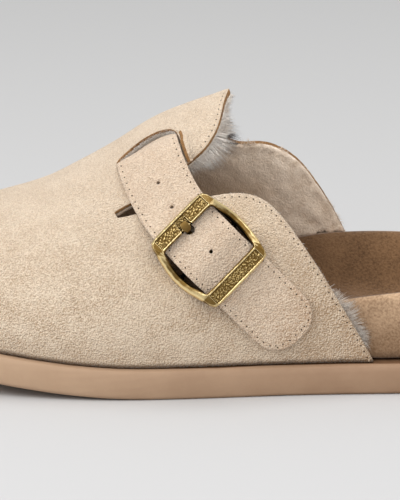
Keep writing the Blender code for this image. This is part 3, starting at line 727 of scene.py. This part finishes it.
def lipSections():
    # for each place along the strap's side, the corners of the lip's section
    corners = [Vector(p) for p in flapLip["line"]]
    parts = flapLip["parts"]
    walk = [a.lerp(b, k / parts) for a, b in zip(corners, corners[1:]) for k in range(parts)]
    walk.append(corners[-1])
    sections = []
    for k, spot in enumerate(walk):
        base, _, face, _ = skinTree.find_nearest(spot)
        up = skinNormals[face]
        run = walk[min(k + 1, len(walk) - 1)] - walk[max(k - 1, 0)]
        side = up.cross(run).normalized()
        if side.x < 0:
            side = -side
        share = k / (len(walk) - 1)
        # it rises from the slot's top and sinks back into the skin at the lower end
        rise = 0.12 + 0.88 * smooth(share, 0.0, 0.28)
        high = flapLip["high"] * rise * (1 - 0.75 * smooth(share, 0.72, 1))
        reach = flapLip["reach"] * (1 - 0.7 * smooth(share, 0.45, 1))
        far, _, farFace, _ = skinTree.find_nearest(base + side * reach)
        far = far - skinNormals[farFace] * flapLip["farSink"]
        gap, cut = flapLip["gap"], flapLip["cut"]
        sections.append([
            base + side * gap - up * flapLip["sink"],
            base + side * gap + up * max(high - flapLip["wall"], 0.0),
            base + side * (gap + cut) + up * high,
            base + side * (gap + cut * 1.9) + up * high,
            (base + side * gap).lerp(far, 0.45) + up * high * 0.62,
            (base + side * gap).lerp(far, 0.75) + up * high * 0.2,
            far,
            base.lerp(far, 0.5) - up * flapLip["underSink"],
        ])
    return sections


def swept(name, sections):
    # the first section as a face, drawn out from each section to the next
    bpy.ops.object.select_all(action="DESELECT")
    bpy.ops.mesh.primitive_circle_add(vertices=len(sections[0]), fill_type="NGON")
    piece = bpy.context.object
    piece.name = piece.data.name = name
    bpy.ops.object.transform_apply(location=True, rotation=True, scale=True)
    for vertex, corner in zip(piece.data.vertices, sections[0]):
        vertex.co = corner
    for before, after in zip(sections, sections[1:]):
        bpy.ops.object.mode_set(mode="EDIT")
        bpy.ops.mesh.extrude_region_move()
        bpy.ops.object.mode_set(mode="OBJECT")
        for vertex in piece.data.vertices:
            if vertex.select:
                k = min(range(len(before)), key=lambda k: (before[k] - vertex.co).length)
                vertex.co = after[k]
    bpy.ops.object.mode_set(mode="EDIT")
    bpy.ops.mesh.select_all(action="SELECT")
    bpy.ops.mesh.normals_make_consistent(inside=False)
    bpy.ops.object.mode_set(mode="OBJECT")
    return piece


lipRows = lipSections()
lip = swept("flap_lip", lipRows)
setFinishes(lip, suede, rawEdge, paintedShadeEdge)
# the cut edge, between corners 1 and 2 of the sections, is raw, and below it lies shade
cornerOf = placeTree([(k, corner) for row in lipRows for k, corner in enumerate(row)])
for face in lip.data.polygons:
    kinds = {cornerOf.find(lip.data.vertices[k].co)[1] for k in face.vertices}
    face.material_index = 1 if kinds == {1, 2} else 2 if kinds == {0, 1} else 0
creaseSharp(lip, flapLip["sharp"], flapLip["crease"])
subdivide(lip, flapLip["levels"])
finished(lip, "upper_suede")
print("flap's lip ready", len(lip.data.polygons))


# Footbed and outsole
baseShape = {"footbedSharp": 50, "footbedCrease": 0.5, "outsoleSharp": 35, "outsoleCrease": 0.7,
             "levels": 2}

footbed = workingCopy("footbed", "covered_footbed")
setFinishes(footbed, footbedSuede, sideSuede)
for face in footbed.data.polygons:
    outwardSide = Vector((face.center.x * 0.35, face.center.y, 0)).dot(face.normal) > 0
    face.material_index = 1 if outwardSide and face.normal.z < 0.97 else 0
creaseSharp(footbed, baseShape["footbedSharp"], baseShape["footbedCrease"])
subdivide(footbed, baseShape["levels"])
finished(footbed, "footbed_suede", "footbed")

outsole = workingCopy("outsole", "rubber_outsole")
setFinishes(outsole, outsoleRubber, ledgeShade)
# the ledge's upward faces get the painted shade
for face in outsole.data.polygons:
    face.material_index = 1 if face.normal.z > 0.9 else 0
creaseSharp(outsole, baseShape["outsoleSharp"], baseShape["outsoleCrease"])
subdivide(outsole, baseShape["levels"])
finished(outsole, "outsole_rubber", "outsole")
print("footbed and outsole ready")


# Buckle
buckle = workingCopy("buckle_frame", "brass_frame")
setFinishes(buckle, brass, darkBrass, shadedBrass)
panels = []
for face in buckle.data.polygons:
    run, across, _ = buckleFrame(face.center)
    up = face.normal.dot(buckleShape["up"])
    toMiddle = -(face.normal.dot(buckleShape["along"]) * run
                 + face.normal.dot(buckleShape["across"]) * across)
    if up > 0.9 and abs(run) > buckleShape["endBars"]:
        panels.append(face.index)
    # the walls that face the window and the centre bar get the painted shade
    elif (up < 0.5 and toMiddle > 0.0) or abs(run) < buckleShape["centreBar"]:
        face.material_index = 2
creaseSharp(buckle, 30, 0.55)
selectFaces(buckle, panels)
bpy.ops.mesh.subdivide(number_cuts=buckleShape["cuts"])
bpy.ops.object.mode_set(mode="OBJECT")
subdivide(buckle, buckleShape["levels"])


def recessShare(place):
    # 0 on the end bars' rims and 1 in the recess between them
    run, across, _ = buckleFrame(place)
    edge = buckleShape["rim"]
    share = 1.0
    for size, low, high in ((abs(run), *buckleShape["recessRun"]),
                            (abs(across), -1.0, buckleShape["recessAcross"])):
        share *= min(max((size - low) / edge, 0), 1) * min(max((high - size) / edge, 0), 1)
    return share * share * (3 - 2 * share)


places, normals = pointsOf(buckle), normalsOf(buckle)
for k, place in enumerate(places):
    run, across, high = buckleFrame(place)
    under = normals[k] @ np.array(buckleShape["up"]) < -0.3
    ofEnd = abs(run) > buckleShape["sideBars"] or abs(across) < buckleShape["sideBarsAcross"]
    if ofEnd or not under:
        continue
    skinPlace = skinTree.find_nearest(Vector(place))[0]
    room = high - buckleFrame(skinPlace)[2] - buckleShape["overSkin"]
    share = 1 - (abs(run) / buckleShape["sideBars"])**4
    places[k] -= np.array(buckleShape["up"]) * max(room, 0) * share
recess = [recessShare(place) if normal @ np.array(buckleShape["up"]) > 0.8 else 0.0
          for place, normal in zip(places, normals)]
for k, share in enumerate(recess):
    if share > 0:
        spot = Vector(places[k]) / buckleShape["pitSize"]
        dent = bpyNoise.noise(spot) + 0.6 * bpyNoise.noise(spot * 2.3)
        deep = buckleShape["recess"] + buckleShape["pits"] * dent
        places[k] -= np.array(buckleShape["up"]) * deep * share
movePoints(buckle, places)
for face in buckle.data.polygons:
    if min(recess[k] for k in face.vertices) > 0.35:
        face.material_index = 1
litSides = []
for place, normal in zip(pointsOf(buckle), normalsOf(buckle)):
    # painted highlight: the bars' outward sides are lighter, and those that face the window darker,
    # as painted shade
    run, across, _ = buckleFrame(Vector(place))
    axis, side = ("across", across) if abs(run) < buckleShape["sideBars"] else ("along", run)
    outwards = normal @ np.array(buckleShape[axis]) * math.copysign(1, side)
    litSides.append((0.75 if axis == "across" else 0.45) * smooth(outwards, -0.25, 0.85))
markRubbedAndHighlight(buckle, buckleShape["rubbed_and_highlight"], np.array(litSides))
finished(buckle, "buckle_brass", "buckle_frame")

prongShape = {"sharp": 35, "crease": 0.2, "levels": 3, "rubbed_and_highlight": 0.0002}
prong = workingCopy("buckle_prong", "brass_prong")
setFinishes(prong, prongBrass)
creaseSharp(prong, prongShape["sharp"], prongShape["crease"])
subdivide(prong, prongShape["levels"])
markRubbedAndHighlight(prong, prongShape["rubbed_and_highlight"])
finished(prong, "prong_brass", "buckle_prong")
print("buckle ready", len(buckle.data.polygons))


# Shearling
collar = placeTree([(k, spot[0]) for k, spot in enumerate(collarLine)])
collarOut = np.array([outward(*spot) for spot in collarLine])


def collarNear(starts):
    # each place's distance from the collar and the direction that points past its edge there
    found = [collar.find(Vector(p)) for p in starts]
    return np.array([f[2] for f in found]), collarOut[[f[1] for f in found]]


liningShape = {"off": 0.00012, "thick": 0.0022, "lumps": 0.0006, "lumpSize": 0.006,
               "overRim": 0.0003, "thin": 0.75, "thinFrom": 0.0065}

footbedTree = surfaceTree(footbed.data)


def footbedTop(place):
    # the height of the footbed's rim near a place on the upper's wall
    pulled = place.lerp(Vector((place.x, 0, place.z)), 0.08)
    hit = footbedTree.ray_cast(Vector((pulled.x, pulled.y, 0.2)), Vector((0, 0, -1)))[0]
    if hit is None:
        hit = footbedTree.find_nearest(Vector((pulled.x, pulled.y, 0.03)))[0]
    return hit.z


selectFaces(lining, [
    face.index for face in lining.data.polygons if face.material_index != 1
    or face.center.z < footbedTop(face.center) + liningShape["overRim"]])
bpy.ops.mesh.delete(type="FACE")
bpy.ops.object.mode_set(mode="OBJECT")
lining.data.materials.clear()
setFinishes(lining, pile)
for face in lining.data.polygons:
    face.material_index = 0
movePoints(lining, pointsOf(lining) + normalsOf(lining) * liningShape["off"])
roots = lining.copy()
roots.data = lining.data.copy()
wall = lining.modifiers.new("wall", "SOLIDIFY")
wall.thickness = liningShape["thick"]
wall.offset = 1
useOnly(lining)
bpy.ops.object.modifier_apply(modifier=wall.name)
places, normals = pointsOf(lining), normalsOf(lining)
backTree = surfaceTree(roots.data)
for k, spot in enumerate(places):
    back, _, _, depth = backTree.find_nearest(Vector(spot))
    if depth > liningShape["thick"] * 0.5:
        lump = bpyNoise.noise(Vector(spot) / liningShape["lumpSize"])
        lump += 0.5 * bpyNoise.noise(Vector(spot) / liningShape["lumpSize"] * 2.7)
        away = collar.find(Vector(spot))[2]
        thin = liningShape["thin"] * (1 - smooth(away, 0.001, liningShape["thinFrom"]))
        places[k] += normals[k] * lump * liningShape["lumps"] * (1 - thin)
        places[k] += (np.array(back) - spot) * thin
movePoints(lining, places)
finished(lining, "upper_suede")
print("lining ready", len(lining.data.polygons))


def hairs(name, starts, ways, lengths, widths, bends, finish):
    # tapered three-sided hairs in one mesh: a start, a direction, and a bend that grows outwards
    count = len(starts)
    ways = ways / np.linalg.norm(ways, axis=1, keepdims=True)
    aside = np.cross(ways, dice.normal(size=(count, 3)))
    aside /= np.linalg.norm(aside, axis=1, keepdims=True)
    other = np.cross(ways, aside)
    rings = []
    for share, thick in ((0.0, 1.0), (0.55, 0.8)):
        middle = starts + ways * (lengths * share)[:, None] + bends * share**2
        for k in range(3):
            angle = 2 * math.pi * k / 3
            rings.append(middle + (aside * math.cos(angle) + other * math.sin(angle))
                         * (widths * thick / 2)[:, None])
    rings.append(starts + ways * lengths[:, None] + bends)
    points = np.stack(rings, axis=1).reshape(-1, 3)
    pattern = np.array([(0, 1, 4), (0, 4, 3), (1, 2, 5), (1, 5, 4), (2, 0, 3), (2, 3, 5),
                        (3, 4, 6), (4, 5, 6), (5, 3, 6)])
    faces = (pattern[None] + 7 * np.arange(count)[:, None, None]).reshape(-1, 3)
    return meshPiece(name, points, faces.tolist(), finish)


def spread(piece, count, weightOf):
    # seeded random places on a mesh, more where weightOf(face centre) is larger
    piece.data.calc_loop_triangles()
    spots = pointsOf(piece)
    tris = np.array([t.vertices for t in piece.data.loop_triangles])
    a, b, c = spots[tris[:, 0]], spots[tris[:, 1]], spots[tris[:, 2]]
    turn = np.cross(b - a, c - a)
    weight = np.linalg.norm(turn, axis=1) * weightOf((a + b + c) / 3)
    pick = dice.choice(len(tris), count, p=weight / weight.sum())
    u, v = dice.random((2, count))
    over = u + v > 1
    u[over], v[over] = 1 - u[over], 1 - v[over]
    starts = a[pick] + (b - a)[pick] * u[:, None] + (c - a)[pick] * v[:, None]
    vertexNormals = normalsOf(piece)
    w = 1 - u - v
    normals = sum(vertexNormals[tris[pick, k]] * share[:, None]
                  for k, share in enumerate((w, u, v)))
    return starts, normals / np.linalg.norm(normals, axis=1, keepdims=True)


furLook = {"length": 0.0046, "width": 0.00014, "edge": (0.001, 0.009), "wild": 0.22,
           "drift": 0.65, "driftSize": 0.006}


def driftAt(starts, size):
    # a smooth random direction for each place, which makes hairs lie in locks
    return np.array([[*bpyNoise.noise_vector(Vector(p) / size)] for p in starts])


def grow(name, count, weightOf, reach, over):
    # pile on the lining: reach is its length, over how far it leans past the collar's edge
    starts, normals = spread(roots, count, weightOf)
    away, out = collarNear(starts)
    x, y, z = starts.T
    near = 1 - smooth(away, *furLook["edge"])
    wild = dice.normal(size=(count, 3)) * furLook["wild"]
    drift = driftAt(starts, furLook["driftSize"]) * furLook["drift"]
    lean = over(x, y, z) * near
    ways = normals * (1.0 - 0.35 * near)[:, None] + wild + drift + out * lean[:, None]
    length = reach(x, y, z) * (0.75 + 0.5 * dice.random(count))
    bends = (drift + out * (lean * 0.5)[:, None]) * (length * 0.35)[:, None]
    bends += dice.normal(size=(count, 3)) * (length * 0.08)[:, None]
    widths = furLook["width"] * (0.7 + 0.6 * dice.random(count))
    return finished(hairs(name, starts, ways, length, widths, bends, hair), "upper_suede")


def furReach(x, y, z):
    # longer at the flap's edge, short along the top of the outer quarter
    flap = smooth(z, 0.0765, 0.082) * smooth(x, -0.014, -0.004)
    tip = smooth(z, 0.090, 0.101)
    quarterTop = (y < 0) * (1 - smooth(z, 0.0745, 0.078))
    inner = (y > 0.008) * np.maximum(1 - smooth(z, 0.084, 0.092), smooth(x, 0.004, 0.012))
    return furLook["length"] * (1 + 0.62 * flap - 1.2 * tip - 0.70 * quarterTop - 0.5 * inner)


def furOver(x, y, z):
    flap = smooth(z, 0.0755, 0.084) * (y < 0.004) * smooth(x, -0.014, -0.004)
    quarterTop = (y < 0) * (1 - smooth(z, 0.0745, 0.078))
    inner = (y > 0.008) * np.maximum(1 - smooth(z, 0.084, 0.092), smooth(x, 0.004, 0.012))
    return 1.3 * flap + 0.12 - 0.1 * quarterTop + 0.06 * inner


tuftLook = {"low": 0.0165, "high": 0.0385, "length": 0.0062, "behind": 0.0022, "deep": 0.003,
            "driftSize": 0.004}


def growTuft(name, count):
    # the fluff that stands out behind the outer quarter's rear edge, over the footbed's side
    spots = [spot for spot in collarLine
             if spot[0].y < 0 and tuftLook["low"] < spot[0].z < tuftLook["high"]]
    pick = dice.integers(len(spots), size=count)
    base = np.array([spot[0] for spot in spots])[pick]
    normals = np.array([spot[1] for spot in spots])[pick]
    out = np.array([outward(*spot) for spot in spots])[pick]
    way = np.array([spot[2] for spot in spots])[pick]
    back = dice.random(count)[:, None]
    starts = (base - normals * (tuftLook["behind"] + 0.0004 * dice.random(count)[:, None])
              - out * tuftLook["deep"] * (back - 0.35) + way * 0.001 * dice.normal(size=(count, 1)))
    heights = base[:, 2]
    share = (heights - tuftLook["low"]) / (tuftLook["high"] - tuftLook["low"])
    middle = 1 - np.abs(share * 2 - 1)
    drift = driftAt(starts, tuftLook["driftSize"])
    ways = out + normals * 0.16 + drift * 0.55 + dice.normal(size=(count, 3)) * 0.16
    length = tuftLook["length"] * (0.35 + 0.65 * middle**0.6) * (0.7 + 0.5 * dice.random(count))
    bends = (drift + normals * 0.2) * (length * 0.3)[:, None]
    widths = furLook["width"] * (0.8 + 0.6 * dice.random(count))
    return finished(hairs(name, starts, ways, length, widths, bends, hair), "upper_suede")


slotFluff = {"facing": 0.45, "under": 0.0009, "length": 0.0030}


def growSlot(name, count):
    # fluff under the slot's edge, over the strap where it goes in
    spots = [spot for spot in slotLine
             if outward(*spot).dot(Vector((0.1, -0.8, -0.6))) > slotFluff["facing"]]
    pick = dice.integers(len(spots), size=count)
    base, normals, way = (np.array([spot[k] for spot in spots])[pick] for k in range(3))
    out = np.array([outward(*spot) for spot in spots])[pick]
    starts = (base - normals * (slotFluff["under"] + 0.0005 * dice.random(count)[:, None])
              + way * 0.0008 * dice.normal(size=(count, 1)) - out * 0.0006)
    ways = out - normals * 0.25 + dice.normal(size=(count, 3)) * 0.35
    length = slotFluff["length"] * (0.5 + 0.6 * dice.random(count))
    bends = dice.normal(size=(count, 3)) * (length * 0.12)[:, None]
    widths = furLook["width"] * (0.7 + 0.6 * dice.random(count))
    return finished(hairs(name, starts, ways, length, widths, bends, hair), "upper_suede")


growSlot("shearling_slot", 1600)
grow("shearling_pile_inner", 21000,
     lambda c: (c[:, 1] > 0) * (c[:, 0] > -0.015) * (0.12 + np.exp(-collarNear(c)[0] / 0.022)),
     furReach, furOver)
grow("shearling_pile_outer", 21000,
     lambda c: (c[:, 1] <= 0) * (c[:, 0] > -0.030) * (0.03 + np.exp(-collarNear(c)[0] / 0.006)),
     furReach, furOver)
grow("shearling_pile_toe", 9000,
     lambda c: (c[:, 0] <= -0.015) * np.exp((c[:, 0] + 0.015) / 0.03),
     furReach, furOver)
growTuft("shearling_tuft", 3200)
bpy.data.objects.remove(roots)
print("shearling ready")


# Floor, light and camera
studio = {"aim": (-0.008, 0.0, 0.0442), "distance": 1.3, "elevation": 14.0, "lens": 314.7}

bpy.ops.object.select_all(action="DESELECT")
bpy.ops.mesh.primitive_plane_add(size=12, location=(0, 2.0, 0))
floor = bpy.context.object
floor.name = "floor"
coords, join = material("floor_paper", Roughness=0.9, Specular_IOR_Level=0.1)
# painted light fall-off: the paper is darker towards the back
setFinishes(floor, join(Base_Color=coords.axis(1).ramp(-0.3, 0.9).tint(
    (0.565, 0.565, 0.57), (0.535, 0.535, 0.535))))
bpy.ops.object.transform_apply(location=True, rotation=True, scale=True)

world = bpy.data.worlds.new("studio") if not bpy.context.scene.world else bpy.context.scene.world
bpy.context.scene.world = world
world.use_nodes = True
sky = next(n for n in world.node_tree.nodes if n.type == "BACKGROUND")
sky.inputs["Color"].default_value = (1.0, 1.0, 1.0, 1)
sky.inputs["Strength"].default_value = 0.62


def lampAt(kind, name, place, target, power):
    bpy.ops.object.light_add(type=kind, location=place)
    lamp = bpy.context.object
    lamp.name = name
    lamp.data.energy = power
    away = Vector(place) - Vector(target)
    lamp.rotation_euler = away.to_track_quat("Z", "Y").to_euler()
    return lamp.data


def softLight(name, place, size, power, tone=(1.0, 1.0, 1.0)):
    lamp = lampAt("AREA", name, place, (0, 0, 0.04), power)
    lamp.shape = "DISK"
    lamp.size = size
    lamp.color = tone


# a narrow lamp into the opening, onto the inner side's lining
inside = lampAt("SPOT", "inside", (0.482, -0.71, 0.563), (0.020, 0.035, 0.082), 9)
inside.spot_size = math.radians(6.4)
inside.spot_blend = 1.0
inside.shadow_soft_size = 0.03
softLight("fill", (-0.25, -1.6, 0.8), 1.2, 4.5, (1.0, 0.99, 0.975))
softLight("key", (-1.2, -0.7, 1.3), 1.1, 14, (1.0, 0.985, 0.965))
softLight("front", (0.3, -1.1, 1.7), 1.2, 8)
softLight("top", (0.25, 0.15, 1.7), 1.0, 9)

tilt = math.radians(studio["elevation"])
aim = Vector(studio["aim"])
place = aim + studio["distance"] * Vector((0, -math.cos(tilt), math.sin(tilt)))
bpy.ops.object.camera_add(location=place, rotation=(math.pi / 2 - tilt, 0, 0))
camera = bpy.context.object
camera.data.sensor_fit = "HORIZONTAL"
camera.data.sensor_width = 36
camera.data.lens = studio["lens"]
bpy.context.scene.camera = camera
bpy.context.scene.view_settings.view_transform = "Standard"
print("studio ready")
